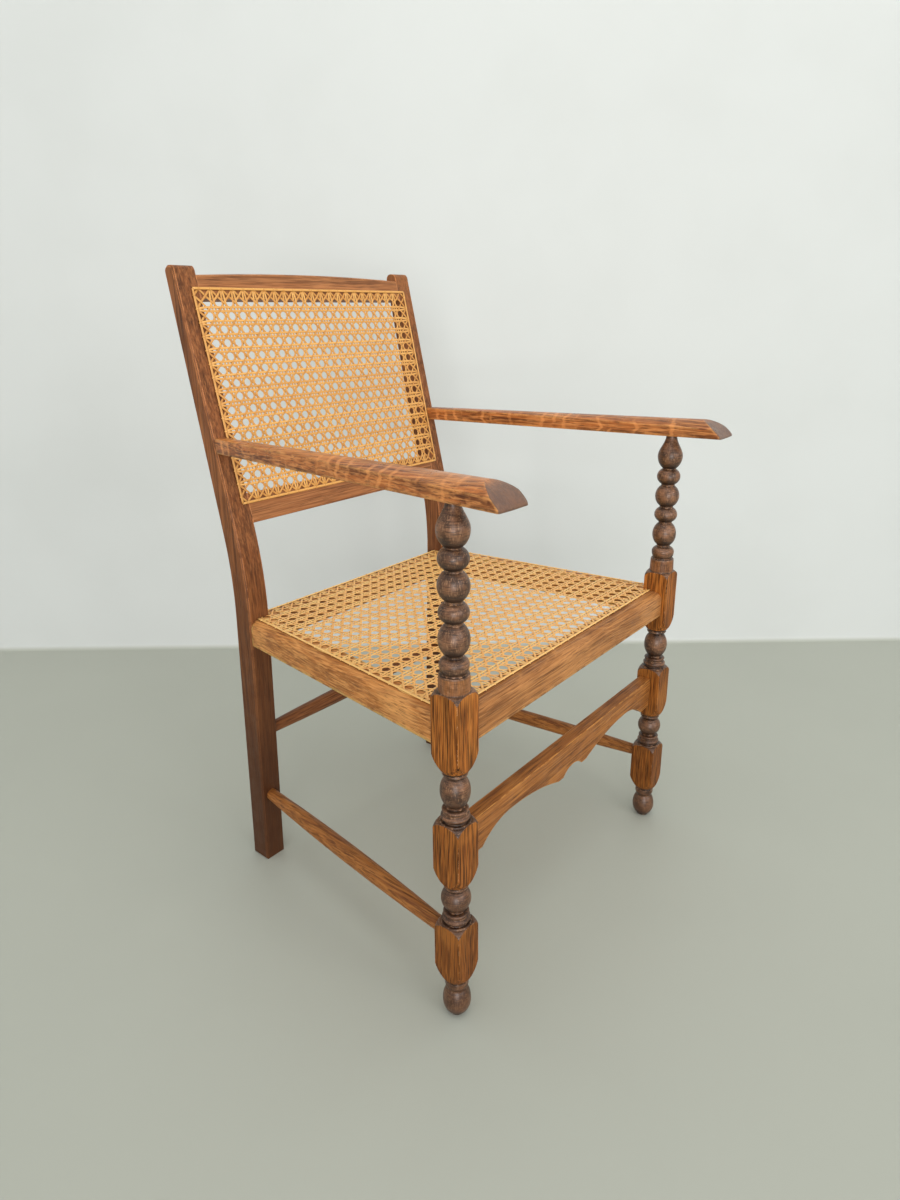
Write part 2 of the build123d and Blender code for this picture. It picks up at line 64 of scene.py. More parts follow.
class Shader:
    """Builds one material. An input that is a socket is linked, and any other value is set."""

    def __init__(self, name):
        self.material = bpy.data.materials.new(name)
        self.material.use_nodes = True
        self.tree = self.material.node_tree
        self.tree.nodes.clear()

    def add(self, kind, inputs=None, **settings):
        """Adds a node with its inputs and settings."""
        node = self.tree.nodes.new("ShaderNode" + kind)
        for key, value in settings.items():
            setattr(node, key, value)
        for key, value in (inputs or {}).items():
            if isinstance(value, bpy.types.NodeSocket):
                self.tree.links.new(value, node.inputs[key])
            elif node.inputs[key].type == "RGBA":
                node.inputs[key].default_value = (*value, 1.0)
            else:
                node.inputs[key].default_value = value
        return node

    def math(self, operation, a, b):
        return self.add("Math", {0: a, 1: b}, operation=operation).outputs[0]

    def vector(self, operation, *values):
        return self.add("VectorMath", dict(enumerate(values)), operation=operation).outputs[0]

    def dot(self, a, b):
        return self.add("VectorMath", {0: a, 1: b}, operation="DOT_PRODUCT").outputs["Value"]

    def noise(self, where, scale, detail=3.0, distortion=0.0):
        """Noise whose scale is one number, or one for each axis."""
        if not isinstance(scale, (int, float)):
            where = self.vector("MULTIPLY", where, scale)
            scale = 1.0
        inputs = {"Vector": where, "Scale": scale, "Detail": detail, "Distortion": distortion}
        return self.add("TexNoise", inputs).outputs["Fac"]

    def ramp(self, value, low, high, to_low=0.0, to_high=1.0):
        """Smooth step from one value at low to another at high."""
        inputs = {"Value": value, "From Min": low, "From Max": high, "To Min": to_low, "To Max": to_high}
        return self.add("MapRange", inputs, interpolation_type="SMOOTHSTEP").outputs["Result"]

    def mix(self, share, a, b):
        return self.add("Mix", {0: share, 6: a, 7: b}, data_type="RGBA").outputs[2]

    def over(self, mask, strength, a, b):
        """Lays colour b over colour a where a mask is bright, up to a strength."""
        return self.mix(self.math("MULTIPLY", mask, strength), a, b)

    def near_floor(self, where, top):
        """Mask that fades out from the first height to the second."""
        height = self.add("SeparateXYZ", {0: where}).outputs[Z]
        return self.math("SUBTRACT", 1.0, self.ramp(height, *top))

    def bump(self, height, strength, distance, normal=None):
        inputs = {"Height": height, "Strength": strength, "Distance": distance}
        if normal is not None:
            inputs["Normal"] = normal
        return self.add("Bump", inputs).outputs[0]

    def finish(self, color, roughness, normal, coat=0.0, shine=0.4):
        inputs = {"Base Color": color, "Roughness": roughness, "Normal": normal}
        inputs.update({"Coat Weight": coat, "Coat Roughness": 0.2, "Specular IOR Level": shine})
        surface = self.add("BsdfPrincipled", inputs)
        output = self.add("OutputMaterial")
        self.tree.links.new(surface.outputs[0], output.inputs["Surface"])
        return self.material


# How far each figure of the grain is drawn out along the wood
BAND_STRETCH, FIBRE_STRETCH, PORE_STRETCH = 0.04, 0.03, 0.035
PORE_SCALE, PATCH_SCALE = 760, 11.0


def grain(s, where, along, palette, pore_strength, band=120, fibre=420):
    """Oak figure along one axis: growth bands, fibres, patches and dark pores. Gives colour and height."""
    dark, mid, light = palette

    def along_grain(scale, stretch):
        return [scale * stretch if axis == along else scale for axis in (X, Y, Z)]

    bands = s.noise(where, along_grain(band, BAND_STRETCH), detail=4.0, distortion=0.8)
    fibres = s.noise(where, along_grain(fibre, FIBRE_STRETCH))
    pores = s.noise(where, along_grain(PORE_SCALE, PORE_STRETCH), detail=2.0)
    patches = s.noise(where, PATCH_SCALE)
    color = s.mix(s.ramp(bands, 0.36, 0.64), dark, mid)
    color = s.over(s.ramp(fibres, 0.42, 0.66), 0.6, color, light)
    color = s.over(s.ramp(patches, 0.5, 0.72), 0.5, color, light)
    open_pores = s.ramp(pores, 0.53, 0.63)
    color = s.over(open_pores, pore_strength, color, shade(dark, 0.35))
    return color, s.math("SUBTRACT", s.math("MULTIPLY", fibres, 0.4), open_pores)


# Rings of ray flecks round a point, with the signs of coordinates left out so that both arms are alike
RAY_CENTRE, RAY_STRETCH = (0.24, -0.4, 0.645), (2.5, 1.0, 5.0)
GRAIN_DEPTH = 0.6 * MM
# Heights over which sawn oak darkens towards the floor, a painted shade
SAWN_LOW_SHADE = (0.1, 0.62)


def oak(name, along, palette, pores=0.7, roughness=0.46, wear_and_highlight=0.6, rays=0.0, coat=0.0, end_grain=None,
        shade_and_grime=0.35, shine=0.25, edge=2.5 * MM):
    """Sawn oak with its grain along one axis, paler at edges for wear and a painted highlight, and darker
    towards the floor as painted shade.
    """
    s = Shader(name)
    where = s.add("TexCoord").outputs["Object"]
    normal = s.add("NewGeometry").outputs["Normal"]
    rounded = s.add("Bevel", {"Radius": edge}, samples=8).outputs[0]
    color, height = grain(s, where, along, palette, pores)
    if rays:
        spread = s.vector("SUBTRACT", s.vector("ABSOLUTE", where), RAY_CENTRE)
        spread = s.vector("MULTIPLY", spread, RAY_STRETCH)
        inputs = {"Vector": spread, "Scale": 17.0, "Distortion": 3.0, "Detail": 1.0, "Detail Scale": 1.2}
        waves = s.add("TexWave", inputs, wave_type="RINGS", rings_direction="SPHERICAL").outputs["Fac"]
        broken = s.ramp(s.noise(where, scale=30.0), 0.44, 0.6)
        flecks = s.math("MULTIPLY", s.ramp(waves, 0.6, 0.98), broken)
        color = s.over(flecks, rays, color, shade(palette[2], 1.25))
    # Edges paler where the scuff noise allows: wear, and a painted highlight
    edges = s.ramp(s.dot(rounded, normal), 0.998, 0.93)
    scuffs = s.ramp(s.noise(where, scale=80.0, detail=4.0), 0.36, 0.56)
    color = s.over(s.math("MULTIPLY", edges, scuffs), wear_and_highlight, color, shade(palette[2], 1.6))
    # Painted shade: darker towards the floor
    color = s.over(s.near_floor(where, SAWN_LOW_SHADE), shade_and_grime, color, shade(palette[0], 0.45))
    if end_grain is not None:
        facing = s.ramp(s.dot(normal, FORWARD), 0.25, 0.5)
        color = s.over(facing, 0.85, color, end_grain)
    rough = s.ramp(s.noise(where, scale=45.0), 0.3, 0.7, roughness - 0.08, roughness + 0.1)
    return s.finish(color, rough, s.bump(height, 0.3, GRAIN_DEPTH, rounded), coat, shine)


TURNED_EDGE, TURNED_DEPTH, HOLLOW_REACH = 1.5 * MM, 0.5 * MM, 10 * MM
# Heights over which the turnings darken towards the floor, a painted shade
TURNED_LOW_SHADE = (0.05, 0.45)


def turned_oak(name, palette, turned):
    """Front-post oak: warm open grain on the flats of the blocks, and darker ringed turnings."""
    s = Shader(name)
    where = s.add("TexCoord").outputs["Object"]
    flat = s.add("Attribute", attribute_name="flat").outputs["Fac"]
    normal = s.add("NewGeometry").outputs["Normal"]
    rounded = s.add("Bevel", {"Radius": TURNED_EDGE}, samples=4).outputs[0]
    block, block_height = grain(s, where, Z, palette, pore_strength=0.65, band=380, fibre=760)
    dark, mid, light = turned
    rings = s.noise(where, scale=(90, 90, 1000), detail=2.0, distortion=0.4)
    streaks = s.noise(where, scale=(800, 800, 160))
    smears = s.noise(where, scale=(60, 60, 60))
    bead = s.mix(s.ramp(smears, 0.3, 0.7), dark, mid)
    bead = s.over(s.ramp(streaks, 0.5, 0.7), 0.45, bead, light)
    bead = s.over(s.ramp(rings, 0.5, 0.62), 0.65, bead, shade(dark, 0.4))
    # Grooves and hollows darken with grime and pale dust patches: partly dirt, partly painted shade
    hollow = s.add("AmbientOcclusion", {"Distance": HOLLOW_REACH}, samples=6).outputs["AO"]
    dust_and_sheen = s.ramp(s.noise(where, scale=200.0), 0.5, 0.64)
    shade_and_grime = s.mix(dust_and_sheen, shade(dark, 0.2), shade(mid, 0.7))
    bead = s.over(s.ramp(hollow, 0.9, 0.5), 0.92, bead, shade_and_grime)
    # Painted shade: faces that point down are darkened
    shaded_underside = s.ramp(s.dot(normal, UPWARD), 0.0, -0.7)
    bead = s.over(shaded_underside, 0.85, bead, shade(dark, 0.25))
    color = s.mix(flat, bead, block)
    # Edges paler in dust patches: dust, and a painted highlight
    edges = s.ramp(s.dot(rounded, normal), 0.99, 0.85)
    color = s.over(s.math("MULTIPLY", edges, dust_and_sheen), 0.8, color, shade(light, 1.5))
    # Painted shade: darker towards the floor
    color = s.over(s.near_floor(where, TURNED_LOW_SHADE), 0.45, color, shade(palette[0], 0.6))
    height = s.add("Mix", {0: flat, 2: rings, 3: block_height}).outputs[0]
    rough = s.ramp(flat, 0.0, 1.0, 0.36, 0.5)
    shine = s.ramp(flat, 0.0, 1.0, 0.5, 0.15)
    return s.finish(color, rough, s.bump(height, 0.35, TURNED_DEPTH, rounded), shine=shine)


CANE_REACH, CANE_DEPTH = 4 * MM, 0.3 * MM


def cane_material(name, dark, mid, light):
    """Aged cane: each strand has its own tone, with fine streaks and stains along it, and painted shade
    where strands cross and meet the border.
    """
    s = Shader(name)
    strand = s.add("UVMap", uv_map="strand").outputs[0]
    tone = s.add("Attribute", attribute_name="tone").outputs["Fac"]
    streaks = s.noise(strand, scale=(1800, 36, 1), detail=2.0)
    stains = s.noise(strand, scale=(60, 60, 1), detail=2.0)
    color = s.mix(0.3, s.mix(tone, dark, light), mid)
    color = s.over(s.ramp(streaks, 0.5, 0.75), 0.3, color, shade(dark, 0.7))
    color = s.over(s.ramp(stains, 0.58, 0.75), 0.35, color, dark)
    # Painted shade where strands cross and meet the border
    hollow = s.add("AmbientOcclusion", {"Distance": CANE_REACH}, samples=4).outputs["AO"]
    color = s.over(s.ramp(hollow, 0.85, 0.35), 0.65, color, shade(dark, 0.45))
    return s.finish(color, 0.4, s.bump(streaks, 0.2, CANE_DEPTH), coat=0.15)


MOTTLE_DEPTH = 1.0 * MM


def backdrop(name, floor, wall, floor_top, wall_foot):
    """Pale seamless sweep, a little darker on the floor than on the wall."""
    s = Shader(name)
    where = s.add("TexCoord").outputs["Object"]
    height = s.add("SeparateXYZ", {0: where}).outputs[Z]
    mottle = s.noise(where, scale=3.0, detail=4.0)
    color = s.mix(s.ramp(height, floor_top, wall_foot), floor, wall)
    color = s.over(s.ramp(mottle, 0.4, 0.7), 0.06, color, shade(floor, 0.7))
    return s.finish(color, 0.5, s.bump(mottle, 0.02, MOTTLE_DEPTH))


# Meshes

def make_object(name, points, faces, material):
    """Links a mesh to the scene."""
    mesh = bpy.data.meshes.new(name)
    mesh.from_pydata(np.asarray(points).tolist(), [], faces)
    mesh.materials.append(material)
    thing = bpy.data.objects.new(name, mesh)
    bpy.context.scene.collection.objects.link(thing)
    return thing


def set_values(mesh, name, values):
    """Gives each point of a mesh a value under a name."""
    layer = mesh.attributes.new(name, "FLOAT", "POINT")
    layer.data.foreach_set("value", np.asarray(values, np.float32))


def dress(thing, replaced):
    """Puts a mesh in the place of CAD nodes."""
    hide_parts(*replaced)
    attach(thing, "root")


def smooth(thing, degrees):
    """Shades a mesh smooth and keeps its edges that are sharper than an angle."""
    thing.data.shade_smooth()
    thing.data.set_sharp_from_angle(angle=math.radians(degrees))


def tube_faces(rows, across, first=0):
    """Quads of a closed tube of rings."""
    index = np.arange(rows * across).reshape(rows, across) + first
    after = np.roll(index, -1, axis=1)
    return np.stack([index[:-1], after[:-1], after[1:], index[1:]], -1).reshape(-1, 4)


# Ranges of tone of the straight strands and of the diagonals, whose darker tone is painted shade, and range
# of places on the strand map
BRIGHT, SHADED_TONE = (0.5, 0.9), (0.3, 0.55)
MAP_RANGE = 3.0


class Strips:
    """Gathers flat strips of cane into one mesh, with a strand map and a tone for each strip."""
    SECTION = np.array([(0.5, -0.5), (0.5, 0.1), (0.28, 0.5), (-0.28, 0.5), (-0.5, 0.1), (-0.5, -0.5)])

    def __init__(self):
        self.points, self.faces, self.ends, self.maps, self.tones = [], [], [], [], []
        self.count = 0

    def add(self, path, side, out, width, thick, tones=BRIGHT):
        """Adds a strip along a path of points, with its width along side and its rounded face to out."""
        across, rise = self.SECTION[:, 0] * width, self.SECTION[:, 1] * thick
        rings = path[:, None] + across[None, :, None] * side + rise[None, :, None] * out
        rows, corners = rings.shape[:2]
        steps = np.linalg.norm(np.diff(path, axis=0), axis=1)
        start = rng.uniform(0, MAP_RANGE)
        length = start + np.concatenate([[0], np.cumsum(steps)])
        places = np.broadcast_arrays(across[None] + start, length[:, None])
        first = np.arange(corners) + self.count
        last = first + (rows - 1) * corners
        self.points.append(rings.reshape(-1, 3))
        self.faces.append(tube_faces(rows, corners, self.count))
        self.ends += [first[::-1].tolist(), last.tolist()]
        self.maps.append(np.stack(places, -1).reshape(-1, 2))
        self.tones.append(np.full(rows * corners, rng.uniform(*tones)))
        self.count += rows * corners

    def build(self, name, material):
        """Makes the mesh of all strips."""
        faces = np.concatenate(self.faces).tolist() + self.ends
        thing = make_object(name, np.concatenate(self.points), faces, material)
        mesh = thing.data
        corner = np.zeros(len(mesh.loops), int)
        mesh.loops.foreach_get("vertex_index", corner)
        places = np.concatenate(self.maps)[corner].astype(np.float32)
        mesh.uv_layers.new(name="strand").data.foreach_set("uv", places.ravel())
        set_values(mesh, "tone", np.concatenate(self.tones))
        mesh.shade_smooth()
        return thing


# Cane

STRAND, STRAND_THICK = 2.8 * MM, 0.5 * MM
PAIR = 2.5 * MM
STRAY, DIAGONAL_STRAY = 0.12 * MM, 0.2 * MM
PANEL_LIFT = 1.15 * MM
UPRIGHT_LIFT, LEVEL_LIFT = -0.3 * MM, 0.3 * MM
FIRST_DIAGONAL, SECOND_DIAGONAL = 0.9 * MM, -0.35 * MM
BINDER, BINDER_THICK, BINDER_LIFT, BINDER_ROW = 3.2 * MM, 0.9 * MM, 2.2 * MM, 5 * MM
LOOP, LOOP_TOP, LOOP_END = 1.8 * MM, 0.3 * MM, 0.4 * MM
# Reach of a loop to each side, in widths of the strip that it holds down
LOOP_REACH = 0.62
# Gap between the points of straight and of wavy strands, in lattice steps
STRAIGHT, WAVY = 0.45, 0.2
# Stretch at each end where a strand is drawn in, and the shortest strand, in lattice steps
PULL_IN, SHORTEST = 0.7, 0.5
# Share of its offset that a strand keeps at its hole
END_SHARE = 0.25
PARALLEL = 1e-9


class Panel:
    """A flat caned panel: a place in space, its outline, and a lattice with whole steps to the border."""

    def __init__(self, origin, across, up, out, outline, corner, pitch):
        self.origin, self.across, self.up, self.out = origin, across, up, out
        self.outline = np.asarray(outline, float)
        self.corner, self.pitch = np.asarray(corner, float), np.asarray(pitch, float)
        self.strips = Strips()

    def place(self, flat, lift):
        """Points in space from points in the panel and heights over it."""
        return self.origin + flat[:, :1] * self.across + flat[:, 1:] * self.up + lift[:, None] * self.out

    def span(self, start, direction):
        """Range of a line inside the outline, which is convex and listed anticlockwise, or None."""
        low, high = -np.inf, np.inf
        for a, b in zip(self.outline, np.roll(self.outline, -1, axis=0)):
            inward = np.array([a[1] - b[1], b[0] - a[0]])
            gap, speed = inward @ (start - a), inward @ direction
            if abs(speed) < PARALLEL:
                if gap < 0:
                    return None
            elif speed > 0:
                low = max(low, -gap / speed)
            else:
                high = min(high, -gap / speed)
        return (low, high) if high - low > SHORTEST * self.pitch[0] else None

    def strand(self, start, direction, offset, lift, tones=BRIGHT, sample=STRAIGHT):
        """One strand from border to border, drawn in towards its hole at each end."""
        direction = direction / np.linalg.norm(direction)
        sideways = np.array([-direction[1], direction[0]])
        span = self.span(start, direction)
        if span is None:
            return
        t = np.linspace(*span, max(3, int((span[1] - span[0]) / (sample * self.pitch[0]))))
        near_end = np.clip(np.minimum(t - span[0], span[1] - t) / (PULL_IN * self.pitch[0]), 0, 1)
        spread = offset * (END_SHARE + (1 - END_SHARE) * near_end)
        flat = start + t[:, None] * direction + spread[:, None] * sideways
        step = (flat - self.corner) / self.pitch
        height = PANEL_LIFT + lift(step) * near_end
        side = sideways[0] * self.across + sideways[1] * self.up
        self.strips.add(self.place(flat, height), side, self.out, STRAND, STRAND_THICK, tones)

    def weave(self, columns, rows):
        """Pairs of strands both ways and two sets of diagonals, round rows of eight-sided gaps."""
        level, upright = np.eye(2)
        for steps, across, along, lift in (
            (columns, level, upright, UPRIGHT_LIFT),
            (rows, upright, level, LEVEL_LIFT),
        ):
            for k in steps:
                start = self.corner + self.pitch * (k + 0.5) * across
                for offset in (-PAIR, PAIR):
                    self.strand(start, along, offset + rng.normal(0, STRAY), lambda step: lift)
        reach = 2 * max(len(columns), len(rows)) + 4
        for k in range(-reach, reach):
            start = self.corner + self.pitch * (k + 0.5, 0)
            for slope, swing in ((1, FIRST_DIAGONAL), (-1, SECOND_DIAGONAL)):
                # Diagonals take the darker tones, a painted shade
                self.strand(start, self.pitch * (slope, 1), rng.normal(0, DIAGONAL_STRAY),
                            lambda step: swing * np.cos(2 * np.pi * step[:, 0]), SHADED_TONE, WAVY)


def bind(strips, panel, a, b):
    """Narrow strip along a border from a to b, held down by a loop at each hole."""
    length = np.linalg.norm(b - a)
    ahead = (b - a) / length
    side = np.array([-ahead[1], ahead[0]])
    across = side[0] * panel.across + side[1] * panel.up
    along = ahead[0] * panel.across + ahead[1] * panel.up
    t = np.linspace(0, length, int(length / BINDER_ROW) + 2)
    line = panel.place(a + t[:, None] * ahead, np.full(len(t), BINDER_LIFT))
    strips.add(line, across, panel.out, BINDER, BINDER_THICK)
    turn = np.linspace(-1, 1, 9)
    drop = np.abs(turn) ** 4
    lift = BINDER_LIFT + 0.5 * BINDER_THICK + LOOP_TOP - (BINDER_LIFT - LOOP_END) * drop
    holes = round(length / panel.pitch[0])
    for k in range(holes):
        middle = a + (k + 0.5) * length / holes * ahead
        path = panel.place(middle + turn[:, None] * side * LOOP_REACH * BINDER, lift)
        strips.add(path, -along, panel.out, LOOP, STRAND_THICK)


def border(name, panel, every, sides, material):
    """Strips along a panel's outline, on each of its edges or on every second one."""
    strips = Strips()
    for k in range(0, len(panel.outline), every):
        bind(strips, panel, panel.outline[k - 1], panel.outline[k])
    replaced = [f"{name}_binder_{side}" for side in sides]
    dress(strips.build(f"{name}_border", material), replaced)


# Turned front posts, with heights from the floor and radii in millimetres

POST_SIDES, POST_ROW = 112, 1.5
SIDE_BLOCK, BOARD_BLOCK, SEAT_BLOCK = (52.0, 133.5), (187.0, 270.5), (334.0, 429.5)
ARM_TENON = 15.0
HALF_BLOCK, SQUARENESS, CORNER = 18.5, 36, 27.0
BLOCK_FOOT, BLOCK_FOOT_RADIUS, BLOCK_FOOT_BULGE = 31.0, 14.6, 0.9
SHOULDER, SHOULDER_RADIUS = 14.5, 17.4
SOLE_RADIUS, FOOT_TOP, FOOT_RADIUS, ANKLE_RADIUS = 9.0, 38.0, 17.0, 12.0
GROOVE, NECK = 9.6, 1.1
# A bead starts no shallower than this share of its radius
SHALLOWEST = 0.97
RING_SPLIT, LOWER_RING_RADIUS, UPPER_RING_RADIUS, RING_GROOVE = 0.62, 16.6, 15.2, 13.4
BALL_FOOT, BALL_HEAD, BALL_GAP = 10.2, 10.0, 5.5
COLLAR = 20.0
PEAR, PEAR_BELLY, PEAR_SWELL, PEAR_NECK, PEAR_TAPER = 48.5, 17.5, 14.6, 7.5, 1.15
# Blocks below and above each lower spindle, height of its ring and radius of its ball
SPINDLES = ((SIDE_BLOCK, BOARD_BLOCK, 18.0, 17.5), (BOARD_BLOCK, SEAT_BLOCK, 19.0, 17.2))
# Heights, before they are fitted to the post, and radii of the beads over the seat
BEADS = ((18.5, 16.2), (35.0, 17.1), (23.0, 16.4), (32.0, 17.1), (24.0, 16.5))
# Heights over a level, and radii, of the short mouldings
OVER_FOOT = ((0.6, 12.0), (3.0, 13.4), (6.0, 14.2))
UNDER_SIDE_BLOCK = ((-2.3, 14.0), (-1.7, 12.8), (-0.7, 12.8))
OVER_BLOCK = ((1.2, 17.2), (1.5, 14.0), (2.2, 13.6))
UNDER_BLOCK = ((-5.0, 13.2), (-3.2, 14.4), (-1.2, 13.9), (-0.8, 12.4))
OVER_COLLAR = ((-1.5, 16.8), (-0.4, 16.4), (0.0, 14.2), (0.8, 14.0))
# Start of the warm foot of a block, start and end of the warm collar, and its share of warmth
WARM_FOOT, WARM_COLLAR, COLLAR_WARMTH = 2.0, (1.0, 18.0), 0.35
# Angles in degrees from which an edge is shaded sharp
POST_CREASE, SAWN_CREASE = 40, 32


def moulding(points, level, outline):
    """Adds an outline of heights over a level and radii."""
    points += [(level + height, radius) for height, radius in outline]


def arc_bead(points, high, wide, end):
    """Adds a round bead from the last point up to a groove with a short neck."""
    start = points[-1][1]
    low, top = points[-1][0] + NECK, high - NECK
    points.append((low, start))
    middle = (low + top) / 2
    for share in np.linspace(-1, 1, 25)[1:]:
        edge = start if share < 0 else end
        limit = math.acos(min(SHALLOWEST, edge / wide))
        reach = math.sin(share * limit) / math.sin(limit)
        points.append((middle + (top - low) / 2 * reach, wide * math.cos(share * limit)))
    points.append((high, end))


def block_curve(points, low, high):
    """Adds the turned foot and shoulder of a square block. The flats between them are cut by the blank."""
    for share in np.linspace(0, 1, 13):
        bulge = math.sin(share * math.pi / 2) ** BLOCK_FOOT_BULGE
        points.append((low + BLOCK_FOOT * share, BLOCK_FOOT_RADIUS + (CORNER - BLOCK_FOOT_RADIUS) * bulge))
    for share in np.linspace(0, 1, 11):
        angle = share * math.pi / 2
        height = high - SHOULDER + SHOULDER * math.sin(angle)
        points.append((height, SHOULDER_RADIUS + (CORNER - SHOULDER_RADIUS) * math.cos(angle)))


def post_profile(arm):
    """Heights and radii of the front post's turning, in metres, from the floor to the arm."""
    points = [(0.0, SOLE_RADIUS)]
    arc_bead(points, FOOT_TOP, FOOT_RADIUS, ANKLE_RADIUS)
    moulding(points, FOOT_TOP, OVER_FOOT)
    moulding(points, SIDE_BLOCK[0], UNDER_SIDE_BLOCK)
    block_curve(points, *SIDE_BLOCK)
    for below, above, ring, ball in SPINDLES:
        moulding(points, below[1], OVER_BLOCK)
        arc_bead(points, below[1] + RING_SPLIT * ring, LOWER_RING_RADIUS, RING_GROOVE)
        arc_bead(points, below[1] + ring, UPPER_RING_RADIUS, BALL_FOOT)
        arc_bead(points, above[0] - BALL_GAP, ball, BALL_HEAD)
        moulding(points, above[0], UNDER_BLOCK)
        block_curve(points, *above)
    moulding(points, SEAT_BLOCK[1] + COLLAR, OVER_COLLAR)
    pear, belly = arm - PEAR, arm - PEAR + PEAR_BELLY
    fit = (pear - points[-1][0]) / sum(height for height, radius in BEADS)
    for height, radius in BEADS:
        arc_bead(points, points[-1][0] + height * fit, radius, GROOVE)
    for share in np.linspace(-1, 0, 13):
        radius = math.hypot(GROOVE, math.sqrt(1 - share * share) * PEAR_SWELL)
        points.append((belly + PEAR_BELLY * share, radius))
    widest = points[-1][1]
    for share in np.linspace(0, 1, 21)[1:]:
        swell = (0.5 + 0.5 * math.cos(math.pi * share)) ** PEAR_TAPER
        points.append((belly + (arm - belly) * share, PEAR_NECK + (widest - PEAR_NECK) * swell))
    return np.array(points) * MM


def turned_post(node, profile, warm_runs, material):
    """Fine mesh of a front post: the turning, cut square wherever it is wider than the blank."""
    low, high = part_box(node)
    x, y = (low.x + high.x) / 2, (low.y + high.y) / 2
    z = np.unique(np.concatenate([np.arange(0, profile[-1, 0], POST_ROW * MM), profile[:, 0]]))
    radius = np.interp(z, profile[:, 0], profile[:, 1])[:, None]
    angle = np.arange(POST_SIDES) * 2 * np.pi / POST_SIDES
    powers = np.abs(np.cos(angle)) ** SQUARENESS + np.abs(np.sin(angle)) ** SQUARENESS
    square = (HALF_BLOCK * MM / powers ** (1 / SQUARENESS))[None, :]
    reach = np.minimum(radius, square)
    rings = np.broadcast_arrays(x + reach * np.cos(angle), y + reach * np.sin(angle), z[:, None])
    rows, across = reach.shape
    count = rows * across
    points = np.concatenate([np.stack(rings, -1).reshape(-1, 3), [[x, y, 0.0], [x, y, z[-1]]]])
    faces = tube_faces(rows, across).tolist()
    faces += [[(k + 1) % across, k, count] for k in range(across)]
    last = count - across
    faces += [[last + k, last + (k + 1) % across, count + 1] for k in range(across)]
    thing = make_object(f"turned_{node}", points, faces, material)
    warm = np.zeros_like(z)
    for start, end, weight in warm_runs:
        warm[(z > start * MM) & (z < end * MM)] = weight
    flat = np.maximum(radius > square, warm[:, None])
    set_values(thing.data, "flat", np.append(flat, [0, 0]))
    smooth(thing, POST_CREASE)
    dress(thing, [node])


# Woods and canes, each with a dark, a middle and a light tone

BACK_RAIL = (srgb(124, 77, 45), srgb(161, 102, 59), srgb(195, 131, 81))
POST = (srgb(98, 56, 28), srgb(134, 79, 42), srgb(170, 109, 63))
RAIL = (srgb(133, 83, 43), srgb(172, 113, 61), srgb(215, 151, 90))
SIDE_RAIL = (srgb(154, 95, 47), srgb(199, 129, 65), srgb(242, 174, 102))
ARM = (srgb(106, 56, 25), srgb(179, 104, 49), srgb(226, 151, 86))
ARM_END = srgb(102, 77, 65)
STRETCHER = (srgb(124, 72, 34), srgb(172, 107, 49), srgb(215, 145, 74))
BLOCK = (srgb(78, 41, 13), srgb(162, 92, 35), srgb(210, 134, 60))
BEAD = (srgb(68, 43, 27), srgb(136, 93, 63), srgb(192, 147, 108))
BACK_CANE = (srgb(172, 103, 34), srgb(230, 157, 75), srgb(250, 198, 114))
# The seat cane is paler than the back cane, painted light for the seat's upward face
SEAT_CANE_LIT = (srgb(222, 134, 54), srgb(253, 185, 102), srgb(253, 223, 143))
# Seat rails: a wide edge radius gives a wide pale band along their edges, from wear and a painted highlight
SEAT_FRAME = {"pores": 0.5, "roughness": 0.48, "wear_and_highlight": 0.7, "rays": 0.25, "edge": 7 * MM}

# Posts get the palest edges, from wear and a painted highlight, and the strongest painted shade towards the
# floor
post_oak = oak("post oak", Z, POST, pores=0.45, wear_and_highlight=1.0, shade_and_grime=0.88)
back_rail_oak = oak("back rail oak", X, BACK_RAIL, pores=0.45)
rail_across = oak("rail oak across", X, RAIL, **SEAT_FRAME)
rail_along = oak("rail oak along", Y, SIDE_RAIL, **SEAT_FRAME)
arm_oak = oak("arm oak", Y, ARM, pores=0.6, roughness=0.34, wear_and_highlight=0.35, rays=0.4, coat=0.3, end_grain=ARM_END,
              shade_and_grime=0.0, edge=6 * MM)
board_oak = oak("board oak", X, STRETCHER, pores=0.65)
side_oak = oak("side stretcher oak", Y, STRETCHER, pores=0.65)
# The rear stretcher takes the darker post tones, a painted shade for its place under the seat
shaded_rear_oak = oak("shaded rear stretcher oak", X, POST, pores=0.65)
post_turning = turned_oak("turned oak", BLOCK, BEAD)
back_cane = cane_material("back cane", *BACK_CANE)
# Paler seat cane, painted light for the upward face
seat_cane = cane_material("lit seat cane", *SEAT_CANE_LIT)

# Frame of the chair

for names, material in (
    (("rear_post_right", "rear_post_left"), post_oak),
    (("back_top_rail", "back_lower_rail"), back_rail_oak),
    (("seat_front_rail", "seat_rear_rail"), rail_across),
    (("seat_side_rail_right", "seat_side_rail_left"), rail_along),
    (("arm_right", "arm_left"), arm_oak),
    (("front_stretcher",), board_oak),
    (("rear_stretcher",), shaded_rear_oak),
    (("side_stretcher_right", "side_stretcher_left"), side_oak),
):
    for name in names:
        nodes[name].data.materials.clear()
        nodes[name].data.materials.append(material)
        smooth(nodes[name], SAWN_CREASE)

front_low, front_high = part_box("front_post_right")
profile = post_profile(front_high.z / MM - ARM_TENON)
warm_runs = [(low + WARM_FOOT, (low + high) / 2, 1.0) for low, high in (SIDE_BLOCK, BOARD_BLOCK, SEAT_BLOCK)]
warm_runs.append((SEAT_BLOCK[1] + WARM_COLLAR[0], SEAT_BLOCK[1] + WARM_COLLAR[1], COLLAR_WARMTH))
for hand in HANDS:
    turned_post(f"front_post_{hand}", profile, warm_runs, post_turning)

# Caned seat, with a lattice from its middle and strips on four of the eight edges of its outline

